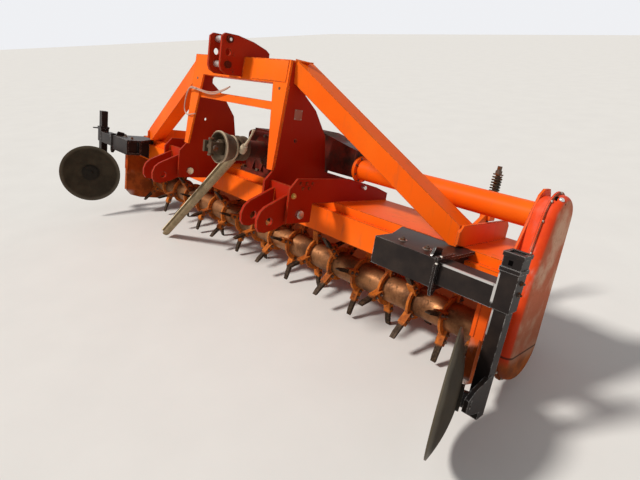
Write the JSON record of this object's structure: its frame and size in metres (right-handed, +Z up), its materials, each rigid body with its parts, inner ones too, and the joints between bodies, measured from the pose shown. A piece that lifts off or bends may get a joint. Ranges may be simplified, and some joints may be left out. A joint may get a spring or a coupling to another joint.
{
  "type": "rotary spike cultivator",
  "caption": "Orange three-point rotary cultivator with a spiral spiked rotor, side discs on sliding arms, a tall braced headstock and a sprung levelling board.",
  "frame": {"origin": "centre of the bounding box at ground level", "axes": "+X across the machine towards its gearcase end, +Y to the rear, +Z up; the machine stands parked, leaning back"},
  "size_m": [3.48, 1.2389, 1.3593],
  "materials": {
    "orange_paint": "worn gloss",
    "black_paint": "worn satin",
    "rusty_disc": "rusted and soiled",
    "rusty_tine": "rusted, tips worn dark",
    "tan_drive": "dusty matt",
    "oily_casting": "dirty, oily",
    "bare_steel": "dull"
  },
  "bodies": {
    "frame": {"bell_guard": "tan_drive", "brace_foot_left": "orange_paint", "brace_foot_right": "orange_paint", "brace_left": "orange_paint", "brace_right": "orange_paint", "console_plate_left": "orange_paint", "console_plate_right": "orange_paint", "crossbeam": "orange_paint", "deck_beam": "orange_paint", "drive_tube": "orange_paint", "drive_yoke": "tan_drive", "front_frame": "orange_paint", "gearbox": "oily_casting", "gearcase": "orange_paint", "gearcase_cover": "orange_paint", "guard_tube": "tan_drive", "headstock_web_left": "orange_paint", "headstock_web_right": "orange_paint", "hinge_rod": "bare_steel", "hitch_ears_left": "orange_paint", "hitch_ears_right": "orange_paint", "input_neck": "tan_drive", "mid_brace": "orange_paint", "neck_collar": "tan_drive", "pivot_pins": "bare_steel", "rod_brackets": "orange_paint", "rotor_bearings": "orange_paint", "side_housing": "oily_casting", "side_plate_left": "orange_paint", "side_plate_right": "orange_paint", "sleeve_left": "black_paint", "sleeve_right": "black_paint", "spring_rods": "bare_steel", "top_link_pins": "bare_steel", "top_link_plates": "orange_paint"},
    "rotor": {"rotor_right": "rusty_tine", "rotor_left": "rusty_tine"},
    "arm_right": {"arm_right": "black_paint"},
    "arm_left": {"arm_left": "black_paint"},
    "leg_right": {"leg_right": "black_paint"},
    "leg_left": {"leg_left": "black_paint"},
    "disc_right": {"disc_right": "rusty_disc"},
    "disc_left": {"disc_left": "rusty_disc"},
    "board": {"levelling_board": "orange_paint"}
  },
  "joints": [
    {"name": "rotor_spin", "type": "hinge", "parent": "frame", "child": "rotor", "pos_m": [0.125, 0.07542, 0.22], "axis": [1, 0, 0], "continuous": true},
    {"name": "board_swing", "type": "hinge", "parent": "frame", "child": "board", "pos_m": [0.125, 0.40741, 0.38198], "axis": [1, 0, 0], "range_deg": [-20, 0]},
    {"name": "arm_right_slide", "type": "slide", "parent": "frame", "child": "arm_right", "axis": [1, 0, 0], "range_m": [-0.18, 0.15]},
    {"name": "leg_right_lift", "type": "slide", "parent": "arm_right", "child": "leg_right", "axis": [0, 0.2334, 0.9724], "range_m": [-0.07, 0.07]},
    {"name": "disc_right_spin", "type": "hinge", "parent": "leg_right", "child": "disc_right", "pos_m": [1.64, -0.41648, 0.30005], "axis": [0.9272, 0.3643, -0.0874], "continuous": true},
    {"name": "arm_left_slide", "type": "slide", "parent": "frame", "child": "arm_left", "axis": [-1, 0, 0], "range_m": [-0.2, 0.05]},
    {"name": "leg_left_lift", "type": "slide", "parent": "arm_left", "child": "leg_left", "axis": [0, 0.2334, 0.9724], "range_m": [-0.11, 0.02]},
    {"name": "disc_left_spin", "type": "hinge", "parent": "leg_left", "child": "disc_left", "pos_m": [-1.616, -0.40575, 0.34477], "axis": [-0.9272, 0.3643, -0.0874], "continuous": true}
  ]
}
